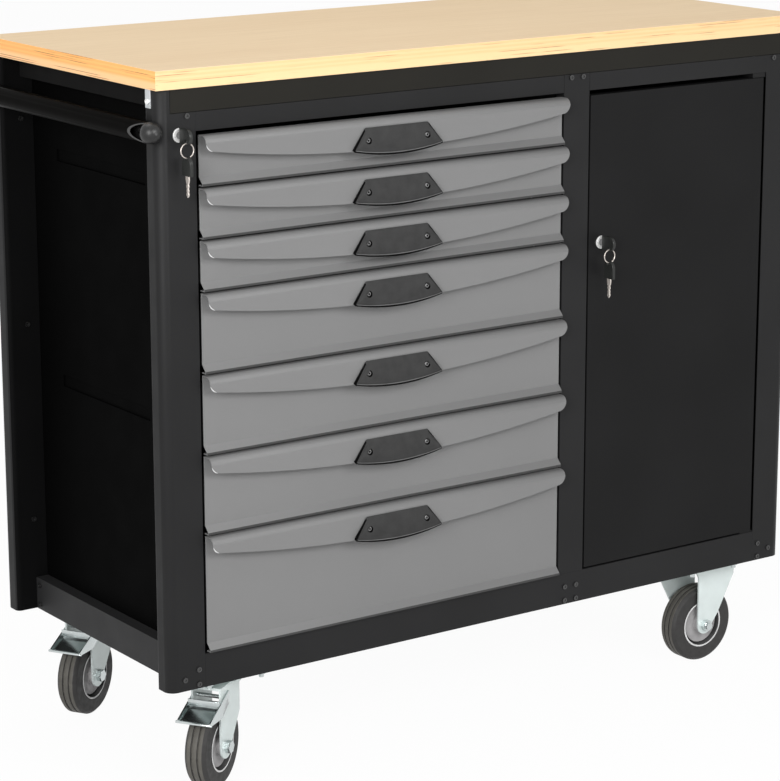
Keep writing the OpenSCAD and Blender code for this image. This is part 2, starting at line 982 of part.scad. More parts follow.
// One front end fitting: a domed plug with a half-round tongue inside the tube and a screw on the tongue
module handle_end() {
  plug_d = bore_d - 2 * handle_plug_clear;
  along_handle() {
    difference() {
      sphere(d = handle_d);
      translate([-handle_d, -handle_d, 0]) cube(2 * handle_d);
    }
    translate([0, 0, -touch]) cylinder(d = handle_d, h = handle_cap_len + touch);
    difference() {
      cylinder(d = plug_d, h = handle_cap_len + handle_tongue_len);
      block(
        [-handle_d, -handle_d, handle_cap_len],
        [handle_tongue_x, handle_d, handle_cap_len + handle_tongue_len + cut]
      );
    }
    translate([handle_tongue_x - weld, 0, handle_screw_y]) rotate([0, -quarter, 0])
      cylinder(d = handle_screw_d, h = handle_screw_h);
  }
}

module handle_ends() {
  color(plastic_color) placed() {
    handle_end();
    flip_rear() handle_end();
  }
}

// Caster positions: swivel casters at the left end, fixed ones at the right
module caster_at(x, y) {
  translate([x, y, base_h]) children();
}

module caster_spots() {
  for (x = [caster_x, cab_w - fixed_x]) for (y = [caster_y, caster_y_rear]) caster_at(x, y) children();
}

module bolt_grid() {
  for (sx = [-1, 1]) for (sy = [-1, 1])
    translate([sx * plate_hole_x / 2, sy * plate_hole_y / 2, 0]) children();
}

module caster_bolts() {
  color(zinc_color) placed() caster_spots() bolt_grid() {
    translate([0, 0, -plate_t - nut_t]) cylinder(d = nut_d, h = nut_t, $fn = hex_sides);
    translate([0, 0, -plate_t - nut_t - bolt_end])
      cylinder(d = bolt_d - 2 * lock_hole_clear, h = bolt_end + nut_t + plate_t + sheet_t);
  }
}

module caster_plate() {
  difference() {
    translate([-plate_x / 2, -plate_y / 2, -plate_t]) cube([plate_x, plate_y, plate_t]);
    bolt_grid() translate([0, 0, -plate_t - cut]) cylinder(d = bolt_d, h = plate_t + 2 * cut);
  }
}

// Top plate of a swivel caster with its race and king pin
module swivel_plate() {
  pin_z = crown_z - base_h - race_gap;
  caster_plate();
  translate([0, 0, -plate_t - race_h]) cylinder(r = race_r, h = race_h + touch);
  translate([0, 0, pin_z]) cylinder(d = kingpin_d, h = -pin_z - plate_t);
  translate([0, 0, pin_z - kingpin_head_t]) cylinder(d = kingpin_head_d, h = kingpin_head_t + touch);
}

module swivel_plates() {
  color(zinc_color) placed() for (y = [caster_y, caster_y_rear]) caster_at(caster_x, y) swivel_plate();
}

// Swivel frame: X runs from the swivel axis towards the wheel, Z is up from the floor
module swivel_at(y, turn) {
  translate([caster_x, y, 0]) rotate([0, 0, half_turn + turn]) children();
}

// One leg of a fork, flat in its own plane, with a round boss for the axle
module leg(points, axle_x, boss_r) {
  difference() {
    union() {
      linear_extrude(fork_t) polygon(points);
      translate([axle_x, wheel_r, 0]) cylinder(r = boss_r, h = fork_t);
    }
    translate([axle_x, wheel_r, -cut]) cylinder(d = axle_d, h = fork_t + 2 * cut);
  }
}

// Stands a leg upright on the far side of the wheel
module leg_upright() {
  translate([0, fork_side, 0]) rotate([quarter, 0, 0]) children();
}

// Axle bolt across a fork, with its head, nut and thread end
module axle(x) {
  out = fork_side + weld;
  shaft_d = axle_d - 2 * run_clear;
  translate([x, 0, wheel_r]) rotate([quarter, 0, 0]) {
    translate([0, 0, -out - touch]) cylinder(d = shaft_d, h = 2 * out + axle_nut_t + axle_end);
    translate([0, 0, out]) cylinder(d = axle_nut_d, h = axle_nut_t, $fn = hex_sides);
    translate([0, 0, -out - axle_nut_t]) cylinder(d = axle_nut_d, h = axle_nut_t, $fn = hex_sides);
  }
}

module swivel_fork() {
  top_z = crown_z + crown_t;
  front_u = trail + swivel_boss_r - touch;
  difference() {
    union() {
      translate([0, 0, crown_z]) cylinder(r = race_r, h = crown_t);
      block([-leg_back, -fork_side, crown_z], [front_u, fork_side, top_z]);
      for (s = [0, 1]) mirror([0, s, 0]) leg_upright() leg([
        [-leg_back, top_z],
        [-leg_back, wheel_r + leg_knee],
        [trail - swivel_boss_r + touch, wheel_r],
        [front_u, wheel_r],
        [front_u, top_z],
      ], trail, swivel_boss_r);
    }
    translate([0, 0, crown_z - cut]) cylinder(d = kingpin_d + 2 * run_clear, h = crown_t + 2 * cut);
    translate([pedal_u, -fork_side - cut, pedal_z]) rotate([-quarter, 0, 0])
      cylinder(d = pedal_pin_d + 2 * run_clear, h = 2 * fork_side + 2 * cut);
  }
  axle(trail);
}

module fork_front_left() {
  color(zinc_color) placed() swivel_at(caster_y, swivel_front) swivel_fork();
}

module fork_rear_left() {
  color(zinc_color) placed() swivel_at(caster_y_rear, swivel_rear) swivel_fork();
}

// Brake pedal: a tray over the wheel between two side plates, turning on a pin through the fork
module brake_pedal() {
  in_y = fork_side + pedal_gap;
  out_y = in_y + pedal_t;
  lip_y = out_y + pedal_lip_ear;
  translate([pedal_u, 0, pedal_z]) {
    translate([0, -out_y, 0]) rotate([-quarter, 0, 0]) cylinder(d = pedal_pin_d, h = 2 * out_y);
    for (s = [0, 1]) mirror([0, s, 0]) translate([0, out_y, 0]) rotate([quarter, 0, 0])
      linear_extrude(pedal_t) polygon([
        [-pedal_back, pedal_top],
        [pedal_tip, -pedal_tip_top],
        [pedal_tip, -pedal_tip_low],
        [pedal_low_u, -pedal_low],
        [-pedal_back, -pedal_back_low],
      ]);
    translate([0, in_y + cut, 0]) rotate([quarter, 0, 0]) linear_extrude(2 * in_y + 2 * cut) polygon([
      [pedal_floor_u, 0],
      [pedal_floor_u, -pedal_floor_z - pedal_t],
      [pedal_tip, -pedal_floor_end - pedal_t],
      [pedal_tip, -pedal_floor_end],
      [pedal_floor_u + pedal_t, -pedal_floor_z],
      [pedal_floor_u + pedal_t, 0],
    ]);
    translate([pedal_tip, -lip_y, -pedal_floor_end]) rotate([-quarter, 0, 0])
      cylinder(r = pedal_lip_r, h = 2 * lip_y);
  }
}

module pedal_front_left() {
  color(zinc_color) placed() swivel_at(caster_y, swivel_front) brake_pedal();
}

module pedal_rear_left() {
  color(zinc_color) placed() swivel_at(caster_y_rear, swivel_rear) brake_pedal();
}

// Fixed fork: each leg flares to one side below its plate
module fixed_fork() {
  top_z = base_h - plate_t;
  translate([0, 0, base_h]) caster_plate();
  edge = fixed_boss_r - touch;
  block([-fixed_flare, -fork_side, fixed_crown_z], [fixed_flare, fork_side, top_z + touch]);
  for (s = [0, 1]) rotate([0, 0, s * half_turn]) leg_upright() leg([
    [fixed_boss_r + fixed_fillet, top_z],
    [edge, top_z - 2 * fixed_fillet],
    [edge, wheel_r],
    [-edge, wheel_r],
    [-fixed_waist, wheel_r + fixed_waist_z],
    [-fixed_flare, wheel_r + fixed_flare_z],
    [-fixed_flare, top_z],
  ], 0, fixed_boss_r);
  axle(0);
}

module fixed_forks() {
  color(zinc_color) placed() {
    for (y = [caster_y, caster_y_rear]) translate([cab_w - fixed_x, y, 0]) fixed_fork();
  }
}

// Section of a tyre with two grooves in its tread
module tyre_section() {
  edge = tyre_w / 2;
  difference() {
    polygon([
      [tyre_in_r, -edge],
      [wheel_r - tyre_shoulder, -edge],
      [wheel_r, -edge + tyre_shoulder],
      [wheel_r, edge - tyre_shoulder],
      [wheel_r - tyre_shoulder, edge],
      [tyre_in_r, edge],
    ]);
    for (s = [-1, 1]) translate([wheel_r - groove_t, s * groove_at - groove_w / 2])
      square([groove_t + cut, groove_w]);
  }
}

// Section of a hub: rim, web and boss
module hub_section() {
  edge = tyre_w / 2;
  translate([tyre_in_r - rim_t, -edge - mid_seam]) square([rim_t, 2 * edge + 2 * mid_seam]);
  translate([hub_boss_r - touch, -hub_web / 2]) square([tyre_in_r - hub_boss_r - touch, hub_web]);
  translate([hub_boss_r - touch, -hub_disc / 2]) square([hub_disc_r - hub_boss_r, hub_disc]);
  translate([axle_d / 2, -hub_half]) square([hub_boss_r - axle_d / 2, 2 * hub_half]);
}

module tyre() {
  rotate([quarter, 0, 0]) rotate_extrude() tyre_section();
}

module hub() {
  rotate([quarter, 0, 0]) rotate_extrude() hub_section();
}

module tyre_front_left() {
  color(rubber_color) placed() swivel_at(caster_y, swivel_front) translate([trail, 0, wheel_r]) tyre();
}

module tyre_rear_left() {
  color(rubber_color) placed() swivel_at(caster_y_rear, swivel_rear) translate([trail, 0, wheel_r]) tyre();
}

module tyre_front_right() {
  color(rubber_color) placed() translate([cab_w - fixed_x, caster_y, wheel_r]) tyre();
}

module tyre_rear_right() {
  color(rubber_color) placed() translate([cab_w - fixed_x, caster_y_rear, wheel_r]) tyre();
}

module hub_front_left() {
  color(hub_color) placed() swivel_at(caster_y, swivel_front) translate([trail, 0, wheel_r]) hub();
}

module hub_rear_left() {
  color(hub_color) placed() swivel_at(caster_y_rear, swivel_rear) translate([trail, 0, wheel_r]) hub();
}

module hub_front_right() {
  color(hub_color) placed() translate([cab_w - fixed_x, caster_y, wheel_r]) hub();
}

module hub_rear_right() {
  color(hub_color) placed() translate([cab_w - fixed_x, caster_y_rear, wheel_r]) hub();
}

worktop();
top_fascia();
corner_posts();
front_top_rails();
front_bottom_rail();
center_stile();
side_panels();
side_rails();
back_panel();
floor_panel();
divider_panel();
worktop_brackets();
frame_screws();
drawer_slides();
drawer_1_box();
drawer_1_front();
drawer_1_grip();
drawer_2_box();
drawer_2_front();
drawer_2_grip();
drawer_3_box();
drawer_3_front();
drawer_3_grip();
drawer_4_box();
drawer_4_front();
drawer_4_grip();
drawer_5_box();
drawer_5_front();
drawer_5_grip();
drawer_6_box();
drawer_6_front();
drawer_6_grip();
drawer_7_box();
drawer_7_front();
drawer_7_grip();
door_leaf();
door_hinges();
drawer_lock_barrel();
drawer_lock_key();
drawer_key_ring();
door_lock_barrel();
door_lock_key();
door_key_ring();
push_handle();
handle_ends();
caster_bolts();
swivel_plates();
fork_front_left();
fork_rear_left();
pedal_front_left();
pedal_rear_left();
fixed_forks();
tyre_front_left();
tyre_rear_left();
tyre_front_right();
tyre_rear_right();
hub_front_left();
hub_rear_left();
hub_front_right();
hub_rear_right();
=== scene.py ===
import json
import math

import bmesh
import bpy
from mathutils import Matrix, Vector


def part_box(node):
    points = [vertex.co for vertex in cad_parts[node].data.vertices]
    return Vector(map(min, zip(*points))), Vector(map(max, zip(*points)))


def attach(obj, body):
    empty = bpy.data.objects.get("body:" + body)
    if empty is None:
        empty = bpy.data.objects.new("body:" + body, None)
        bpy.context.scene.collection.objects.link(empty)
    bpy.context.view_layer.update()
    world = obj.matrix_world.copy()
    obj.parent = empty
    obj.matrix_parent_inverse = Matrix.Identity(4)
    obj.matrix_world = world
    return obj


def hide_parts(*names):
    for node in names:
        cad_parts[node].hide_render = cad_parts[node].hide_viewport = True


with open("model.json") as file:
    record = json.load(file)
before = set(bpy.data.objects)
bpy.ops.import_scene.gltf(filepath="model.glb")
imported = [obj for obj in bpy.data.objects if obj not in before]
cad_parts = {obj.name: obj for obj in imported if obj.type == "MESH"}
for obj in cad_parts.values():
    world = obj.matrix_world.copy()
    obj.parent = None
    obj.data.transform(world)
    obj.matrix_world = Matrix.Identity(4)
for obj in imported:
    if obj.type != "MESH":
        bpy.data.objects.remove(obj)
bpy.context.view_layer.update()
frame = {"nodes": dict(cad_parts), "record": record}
NODES = frame["nodes"]
MM = 0.001
DRAWERS = range(1, 8)
PLIES = 9

# Rounding of edges
FOLD_ROUND, CUT_ROUND, TRIM_ROUND = 0.3 * MM, 0.35 * MM, 0.4 * MM
SHEET_ROUND, FACE_ROUND, FORK_ROUND = 0.5 * MM, 0.6 * MM, 0.7 * MM
LOCK_ROUND, SOFT_ROUND, KEY_ROUND = 0.8 * MM, 1.0 * MM, 0.3 * MM

# Share of a normal along an axis, for a face that lies square to it or leans
SQUARE, HALF, LEAN, SLANT, RIM_LEAN = 0.9, 0.5, 0.3, 0.2, 0.7

# Places taken from the frame
POST_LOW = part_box("corner_posts")[0]
TOP_LOW, TOP_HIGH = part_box("worktop")
LEFT_X, FRONT_Y = POST_LOW.x, POST_LOW.y
WHEEL_R = (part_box("tyre_front_right")[1].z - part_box("tyre_front_right")[0].z) / 2


# Shader helpers

class Shader:
    """A Principled material with short calls for the nodes that feed it."""

    def __init__(self, name, color, rough, metal=0.0, specular=0.5):
        self.material = bpy.data.materials.new(name)
        self.material.use_nodes = True
        self.tree = self.material.node_tree
        self.bsdf = self.tree.nodes["Principled BSDF"]
        self.set("Base Color", (*color, 1))
        self.set("Roughness", rough)
        self.set("Metallic", metal)
        self.set("Specular IOR Level", specular)

    def set(self, socket, value):
        self.bsdf.inputs[socket].default_value = value

    def node(self, kind, **inputs):
        made = self.tree.nodes.new(kind)
        for key, value in inputs.items():
            made.inputs[key.replace("_", " ")].default_value = value
        return made

    def link(self, source, target):
        self.tree.links.new(source, target)

    def place(self, scale):
        """The piece's own coordinates in metres, stretched by scale."""
        where = self.node("ShaderNodeTexCoord")
        mapping = self.node("ShaderNodeMapping")
        mapping.inputs["Scale"].default_value = scale
        self.link(where.outputs["Object"], mapping.inputs["Vector"])
        return mapping.outputs["Vector"]

    def noise(self, scale, detail=3.0, rough=0.5, stretch=(1, 1, 1)):
        tex = self.node("ShaderNodeTexNoise", Scale=scale, Detail=detail, Roughness=rough)
        self.link(self.place(stretch), tex.inputs["Vector"])
        return tex.outputs["Fac"]

    def ramp(self, value, stops):
        """A colour ramp; each stop is a place and a colour or a grey value."""
        made = self.tree.nodes.new("ShaderNodeValToRGB")
        elements = made.color_ramp.elements
        while len(elements) < len(stops):
            elements.new(0.5)
        for element, (place, color) in zip(elements, stops):
            element.position = place
            element.color = (*color, 1) if isinstance(color, tuple) else (color, color, color, 1)
        self.link(value, made.inputs["Fac"])
        return made.outputs["Color"]

    def mix(self, fac, first, second):
        """Mixes two colours; each is a socket or a colour."""
        made = self.tree.nodes.new("ShaderNodeMix")
        made.data_type = "RGBA"
        for socket, value in ((0, fac), (6, first), (7, second)):
            if isinstance(value, (tuple, float, int)):
                made.inputs[socket].default_value = (*value, 1) if isinstance(value, tuple) else value
            else:
                self.link(value, made.inputs[socket])
        return made.outputs[2]

    def math(self, operation, first, second=None):
        made = self.tree.nodes.new("ShaderNodeMath")
        made.operation = operation
        for socket, value in ((0, first), (1, second)):
            if value is None:
                continue
            if isinstance(value, (float, int)):
                made.inputs[socket].default_value = value
            else:
                self.link(value, made.inputs[socket])
        return made.outputs[0]

    def bump(self, height, strength, distance):
        made = self.node("ShaderNodeBump", Strength=strength, Distance=distance)
        self.link(height, made.inputs["Height"])
        self.link(made.outputs["Normal"], self.bsdf.inputs["Normal"])

    def base(self, socket):
        self.link(socket, self.bsdf.inputs["Base Color"])

    def rough(self, socket):
        self.link(socket, self.bsdf.inputs["Roughness"])


def shade(color, factor):
    return tuple(min(1.0, c * factor) for c in color)


# Materials

def powder_coat(name, color, rough, grain=1400.0, strength=0.12, cloud=0.12, specular=0.25):
    """Baked powder paint: a fine orange-peel grain and slow changes of tone and gloss."""
    s = Shader(name, color, rough, specular=specular)
    slow = s.noise(5.0, 2.0)
    s.base(s.ramp(slow, [(0.3, shade(color, 1 - cloud)), (0.7, shade(color, 1 + cloud))]))
    s.rough(s.ramp(s.noise(24.0, 3.0), [(0.3, rough - 0.05), (0.7, rough + 0.05)]))
    s.bump(s.noise(grain, 2.0, 0.6), strength, 0.0002)
    return s.material


def moulded_plastic(name, color, rough, grain=2600.0, strength=0.25, specular=0.4):
    """Moulded plastic with a fine spark-eroded grain."""
    s = Shader(name, color, rough, specular=specular)
    s.base(s.ramp(s.noise(60.0, 4.0), [(0.3, shade(color, 0.85)), (0.7, shade(color, 1.15))]))
    s.rough(s.ramp(s.noise(300.0, 2.0), [(0.3, rough - 0.06), (0.7, rough + 0.06)]))
    s.bump(s.noise(grain, 3.0, 0.7), strength, 0.0002)
    return s.material


def zinc_plate(name, color, rough, metal, cloud=0.06):
    """Zinc plating: cool, with cloudy gloss and fine rolling lines."""
    s = Shader(name, color, rough, metal=metal)
    slow = s.noise(30.0, 4.0, 0.5)
    s.base(s.ramp(slow, [(0.3, shade(color, 1 - cloud)), (0.7, shade(color, 1 + cloud))]))
    s.rough(s.ramp(s.noise(60.0, 3.0), [(0.3, rough - 0.04), (0.7, rough + 0.05)]))
    s.bump(s.noise(900.0, 3.0, 0.5, (0.15, 1, 1)), 0.06, 0.0002)
    return s.material


def nickel(name, color, rough, metal):
    """Nickel plating or bare steel: small changes of tone and gloss."""
    s = Shader(name, color, rough, metal=metal)
    s.base(s.ramp(s.noise(240.0, 2.0), [(0.3, shade(color, 0.9)), (0.7, shade(color, 1.08))]))
    s.rough(s.ramp(s.noise(500.0, 2.0), [(0.3, rough - 0.04), (0.7, rough + 0.05)]))
    return s.material


def rubber(name, color):
    """Solid tyre rubber: brownish grey, with dust in the pores."""
    s = Shader(name, color, 0.62, specular=0.4)
    dust = s.noise(70.0, 6.0, 0.65)
    s.base(s.ramp(dust, [(0.3, shade(color, 0.8)), (0.62, color), (0.85, shade(color, 1.7))]))
    s.rough(s.ramp(s.noise(120.0, 3.0), [(0.3, 0.54), (0.7, 0.72)]))
    s.bump(s.noise(1800.0, 3.0, 0.7), 0.25, 0.0002)
    return s.material


def wood_face(name, color, streak):
    """Lacquered birch veneer: long faint streaks and fine pores along X."""
    s = Shader(name, color, 0.5, specular=0.06)
    broad = s.noise(9.0, 4.0, 0.55, (0.16, 1, 1))
    fine = s.noise(190.0, 5.0, 0.65, (0.035, 1, 1))
    tone = s.mix(s.ramp(broad, [(0.35, 0.0), (0.7, 1.0)]), color, streak)
    s.base(s.mix(s.ramp(fine, [(0.45, 0.0), (0.8, 0.55)]), tone, shade(streak, 0.86)))
    s.rough(s.ramp(fine, [(0.3, 0.46), (0.7, 0.58)]))
    s.bump(fine, 0.06, 0.0002)
    return s.material


def ply_edge(name, plies, low, line, along, cut):
    """Cut edge of plywood: plies close in tone, paler below, with thin glue lines that come and go."""
    light, dark = plies
    s = Shader(name, light, 0.55, specular=0.3)
    thick = TOP_HIGH.z - TOP_LOW.z
    where = s.node("ShaderNodeTexCoord")
    split = s.node("ShaderNodeSeparateXYZ")
    s.link(where.outputs["Object"], split.inputs["Vector"])
    height = s.math("DIVIDE", s.math("SUBTRACT", split.outputs["Z"], TOP_LOW.z), thick)
    wobble = s.math("MULTIPLY", s.noise(14.0, 2.0, 0.5, along), 0.5)
    level = s.math("ADD", s.math("MULTIPLY", height, PLIES), wobble)
    odd = s.math("DIVIDE", s.math("FLOORED_MODULO", level, 2.0), 2.0)
    ply = s.ramp(odd, [(0.0, dark), (0.46, dark), (0.54, light), (1.0, light)])
    fibre = s.noise(260.0, 5.0, 0.7, tuple(0.06 if a < 1 else 1 for a in along))
    body = s.mix(s.ramp(fibre, [(0.4, 0.0), (0.8, 0.45)]), ply, dark)
    body = s.mix(s.ramp(height, [(0.32, 1.0), (0.5, 0.0)]), body, low)
    glue = s.ramp(s.math("FRACT", level), [(0.0, 1.0), (0.2, 0.0), (0.8, 0.0), (1.0, 1.0)])
    stretch = tuple(0.9 if a < 1 else 30 for a in along)
    broken = s.ramp(s.noise(9.0, 2.0, 0.5, stretch), [(cut, 0.0), (cut + 0.06, 1.0)])
    s.base(s.mix(s.math("MULTIPLY", glue, broken), body, line))
    s.bump(fibre, 0.12, 0.0003)
    return s.material


FRAME_BLACK = powder_coat("frame_black", (0.0125, 0.0125, 0.0129), 0.5, specular=0.14)
RAIL_BLACK = powder_coat("rail_black", (0.0195, 0.0195, 0.02), 0.5, specular=0.12)
# Flatter black of the upper side rails: painted shade from the worktop
RAIL_SHADE_BLACK = powder_coat("rail_shade_black", (0.0095, 0.0095, 0.0095), 0.55, specular=0.02)
# Painted shade on the posts' rear folds in the side panels' recess
SHADE_BLACK = powder_coat("shade_black", (0.0045, 0.0045, 0.0046), 0.55, specular=0.02)
FASCIA_BLACK = powder_coat("fascia_black", (0.0102, 0.0094, 0.0072), 0.5, specular=0.14)
# Near-black of the left side panel: painted shade on that side
LEFT_PANEL_SHADE = powder_coat("panel_black", (0.0016, 0.0016, 0.0016), 0.6, specular=0.01)
BACK_BLACK = powder_coat("back_black", (0.0095, 0.0095, 0.0097), 0.5, specular=0.14)
DOOR_BLACK = powder_coat("door_black", (0.0082, 0.0082, 0.0084), 0.45, specular=0.09)
BOX_BLACK = powder_coat("box_black", (0.015, 0.015, 0.015), 0.5)
FRONT_GREY = powder_coat("front_grey", (0.166, 0.166, 0.166), 0.5, cloud=0.02, specular=0.22)
# Pale grey of the lip beads: a painted highlight on the pull lips' left corners
FRONT_LIP_HIGHLIGHT = nickel("front_lip_highlight", (0.62, 0.62, 0.62), 0.35, 0.2)
# Dark grey of each drawer front's foot strip: painted shade between the drawers
FRONT_FOOT_SHADE = powder_coat("front_foot_shade", (0.05, 0.05, 0.05), 0.55, cloud=0.02, specular=0.1)
GRIP_BLACK = moulded_plastic("grip_black", (0.029, 0.029, 0.029), 0.55, specular=0.16)
# Near-black of the grips' sides, lower rims and screw holes: painted shade
GRIP_SHADE = moulded_plastic("grip_shade", (0.0015, 0.0015, 0.0015), 0.6, specular=0.05)
# Paler grey of the grips' lower bead: a painted highlight
GRIP_BEAD_HIGHLIGHT = moulded_plastic("grip_bead_highlight", (0.085, 0.085, 0.085), 0.45, specular=0.3)
HANDLE_BLACK = moulded_plastic("handle_black", (0.0014, 0.0012, 0.001), 0.34, strength=0.05, specular=0.01)
HANDLE_CAP = moulded_plastic("handle_cap", (0.011, 0.011, 0.011), 0.38, strength=0.1, specular=0.4)
# Paler grey of the handle tube's slanted cuts: a painted highlight
HANDLE_RIM_HIGHLIGHT = moulded_plastic("handle_rim_highlight", (0.045, 0.045, 0.045), 0.35, specular=0.4)
HUB_GREY = moulded_plastic("hub_grey", (0.29, 0.283, 0.286), 0.5)
HUB_RIM = moulded_plastic("hub_rim", (0.56, 0.56, 0.56), 0.4)
HUB_GROOVE = moulded_plastic("hub_groove", (0.06, 0.06, 0.06), 0.6, specular=0.2)
KEY_BLACK = moulded_plastic("key_black", (0.018, 0.019, 0.018), 0.35, strength=0.1, specular=0.3)
ZINC = zinc_plate("zinc", (0.61, 0.67, 0.66), 0.38, 0.3)
ZINC_BRIGHT = zinc_plate("zinc_bright", (0.56, 0.60, 0.60), 0.17, 1.0)
SLIDE_STEEL = zinc_plate("slide_steel", (0.6, 0.62, 0.63), 0.36, 0.85)
SCREW_BLACK = nickel("screw_black", (0.08, 0.08, 0.08), 0.28, 0.9)
PLUG_NICKEL = nickel("plug_nickel", (0.28, 0.28, 0.28), 0.3, 0.5)
LOCK_NICKEL = nickel("lock_nickel", (0.82, 0.82, 0.81), 0.3, 0.5)
KEY_NICKEL = nickel("key_nickel", (0.56, 0.51, 0.47), 0.34, 0.5)
SCREW_STEEL = nickel("screw_steel", (0.22, 0.22, 0.22), 0.3, 0.8)
SCREW_BRIGHT = nickel("screw_bright", (0.85, 0.85, 0.84), 0.3, 0.5)
TYRE_SIDE = rubber("tyre_side", (0.024, 0.023, 0.0225))
TYRE_TREAD = rubber("tyre_tread", (0.085, 0.08, 0.07))
VENEER = wood_face("veneer", (0.83, 0.64, 0.415), (0.80, 0.605, 0.385))
LONG_EDGE = ply_edge("long_edge", plies=((0.80, 0.53, 0.28), (0.78, 0.48, 0.24)), low=(0.80, 0.54, 0.29),
                     line=(0.2, 0.1, 0.04), along=(0.1, 1, 1), cut=0.58)
END_EDGE = ply_edge("end_edge", plies=((0.95, 0.5, 0.17), (0.93, 0.44, 0.14)), low=(0.95, 0.57, 0.29),
                    line=(0.2, 0.06, 0.02), along=(1, 0.1, 1), cut=0.55)


# Mesh helpers

def paint(obj, material):
    obj.data.materials.clear()
    obj.data.materials.append(material)


def new_object(name, bm, *materials, sharp=35.0):
    """A mesh object with smooth faces and sharp edges beyond an angle in degrees."""
    mesh = bpy.data.meshes.new(name)
    bm.normal_update()
    bm.to_mesh(mesh)
    bm.free()
    obj = bpy.data.objects.new(name, mesh)
    bpy.context.scene.collection.objects.link(obj)
    for material in materials:
        mesh.materials.append(material)
    for face in mesh.polygons:
        face.use_smooth = True
    mesh.set_sharp_from_angle(angle=math.radians(sharp))
    return obj


def bridge(bm, first, second, index=0):
    """Quads between two closed rows of as many points; returns the new faces."""
    count = len(first)
    faces = []
    for k in range(count):
        n = (k + 1) % count
        faces.append(bm.faces.new((first[k], first[n], second[n], second[k])))
        faces[-1].material_index = index
    return faces


def disc(bm, centre, radius, y, steps=24):
    """A closed row of points round a centre in X and Z, at the depth that y gives for each height."""
    row = []
    for k in range(steps):
        angle = 2 * math.pi * k / steps
        x, z = centre[0] + radius * math.cos(angle), centre[1] + radius * math.sin(angle)
        row.append(bm.verts.new((x, y(z), z)))
    return row


def block(bm, low, high):
    """A box between two corners."""
    made = bmesh.ops.create_cube(bm, size=1.0)["verts"]
    size = Vector(high) - Vector(low)
    bmesh.ops.scale(bm, vec=size, verts=made)
    bmesh.ops.translate(bm, vec=(Vector(high) + Vector(low)) / 2, verts=made)


def stand_for(obj, node, body):
    """Puts a finer piece in the place of a CAD node."""
    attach(obj, body)
    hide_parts(node)


def paint_faces(node, materials, choose):
    """Gives each face of a CAD node the material that choose names from its centre and normal."""
    mesh = NODES[node].data
    mesh.materials.clear()
    for material in materials:
        mesh.materials.append(material)
    for face in mesh.polygons:
        face.material_index = choose(face.center, face.normal)


def edge_round(obj, width, segments=2, angle=34.0):
    """Joins the mesh's split corners and rounds its sharp edges."""
    weld = obj.modifiers.new("weld", "WELD")
    weld.merge_threshold = 1e-5
    bevel = obj.modifiers.new("edge_round", "BEVEL")
    bevel.width = width
    bevel.segments = segments
    bevel.limit_method = "ANGLE"
    bevel.angle_limit = math.radians(angle)
    bevel.harden_normals = True


def dress(node, material, width=0.0, segments=2):
    """Gives a CAD node its material and softens its edges."""
    obj = NODES[node]
    paint(obj, material)
    if width:
        edge_round(obj, width, segments)


# Frame, panels and drawers

# Height of the foot strip of a drawer front that carries painted shade
FOOT_STRIP = 4 * MM
# Size and taper of the bead that carries the painted highlight on each pull lip
LIP_BEAD_R, LIP_BEAD_TIP, LIP_BEAD_SIDES = 0.8 * MM, 0.2, 8
FLANGE_H, POST_FOOT_W = 12 * MM, 40 * MM


def solids(mesh):
    """The faces of a mesh in groups, one for each of its separate solids."""
    parent = {}

    def root(key):
        while parent.setdefault(key, key) != key:
            key = parent[key]
        return key

    def place(index):
        return tuple(round(c, 6) for c in mesh.vertices[index].co)

    for face in mesh.polygons:
        first = place(face.vertices[0])
        for index in face.vertices[1:]:
            parent[root(place(index))] = root(first)
    groups = {}
    for face in mesh.polygons:
        groups.setdefault(root(place(face.vertices[0])), []).append(face)
    return list(groups.values())


def paint_small_solids(obj):
    """Gives the smaller half of an object's solids its second material."""
    groups = solids(obj.data)

    def bulk(faces):
        places = [face.center for face in faces]
        sides = [max(p[k] for p in places) - min(p[k] for p in places) for k in range(3)]
        return sides[0] * sides[1] * sides[2]

    groups.sort(key=bulk)
    for faces in groups[:len(groups) // 2]:
        for face in faces:
            face.material_index = 1


def dress_front(i):
    """A drawer front, with painted shade on the upright strip along its foot."""
    node = f"drawer_{i}_front"
    foot_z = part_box(node)[0].z + FOOT_STRIP

    # Faces on the upright foot strip get the painted shade
    def foot(place, normal):
        return 1 if normal.y < -SQUARE and place.z < foot_z else 0

    paint_faces(node, (FRONT_GREY, FRONT_FOOT_SHADE), foot)
    edge_round(NODES[node], FACE_ROUND)


def build_lip_highlight(i):
    """A thin bead with a painted highlight on the rounded left corner of a drawer's pull lip, tapered at both
    ends.
    """
    node = f"drawer_{i}_front"
    mesh, low = NODES[node].data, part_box(node)[0]
    places = set()
    for face in mesh.polygons:
        if face.normal.x < -LEAN and face.normal.z < -LEAN:
            corners = (mesh.vertices[index].co for index in face.vertices)
            places.update((round(c.x, 6), round(c.z, 6)) for c in corners if c.y < low.y + LIP_BEAD_R)
    path = [Vector((x, low.y, z)) for x, z in sorted(places)]
    bm = bmesh.new()
    rows = []
    for k, point in enumerate(path):
        along = (path[min(k + 1, len(path) - 1)] - path[max(k - 1, 0)]).normalized()
        across = along.cross(Vector((0, 1, 0)))
        swell = math.sin(math.pi * k / (len(path) - 1))
        radius = LIP_BEAD_R * (LIP_BEAD_TIP + (1 - LIP_BEAD_TIP) * swell)
        row = []
        for step in range(LIP_BEAD_SIDES):
            angle = 2 * math.pi * step / LIP_BEAD_SIDES
            arm = across * math.cos(angle) + Vector((0, math.sin(angle), 0))
            row.append(bm.verts.new(point + radius * arm))
        rows.append(row)
    for first, second in zip(rows, rows[1:]):
        bridge(bm, first, second)
    bm.faces.new(rows[0])
    bm.faces.new(rows[-1])
    bmesh.ops.recalc_face_normals(bm, faces=bm.faces)
    obj = new_object(f"lip_highlight_{i}", bm, FRONT_LIP_HIGHLIGHT)
    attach(obj, f"drawer_{i}")


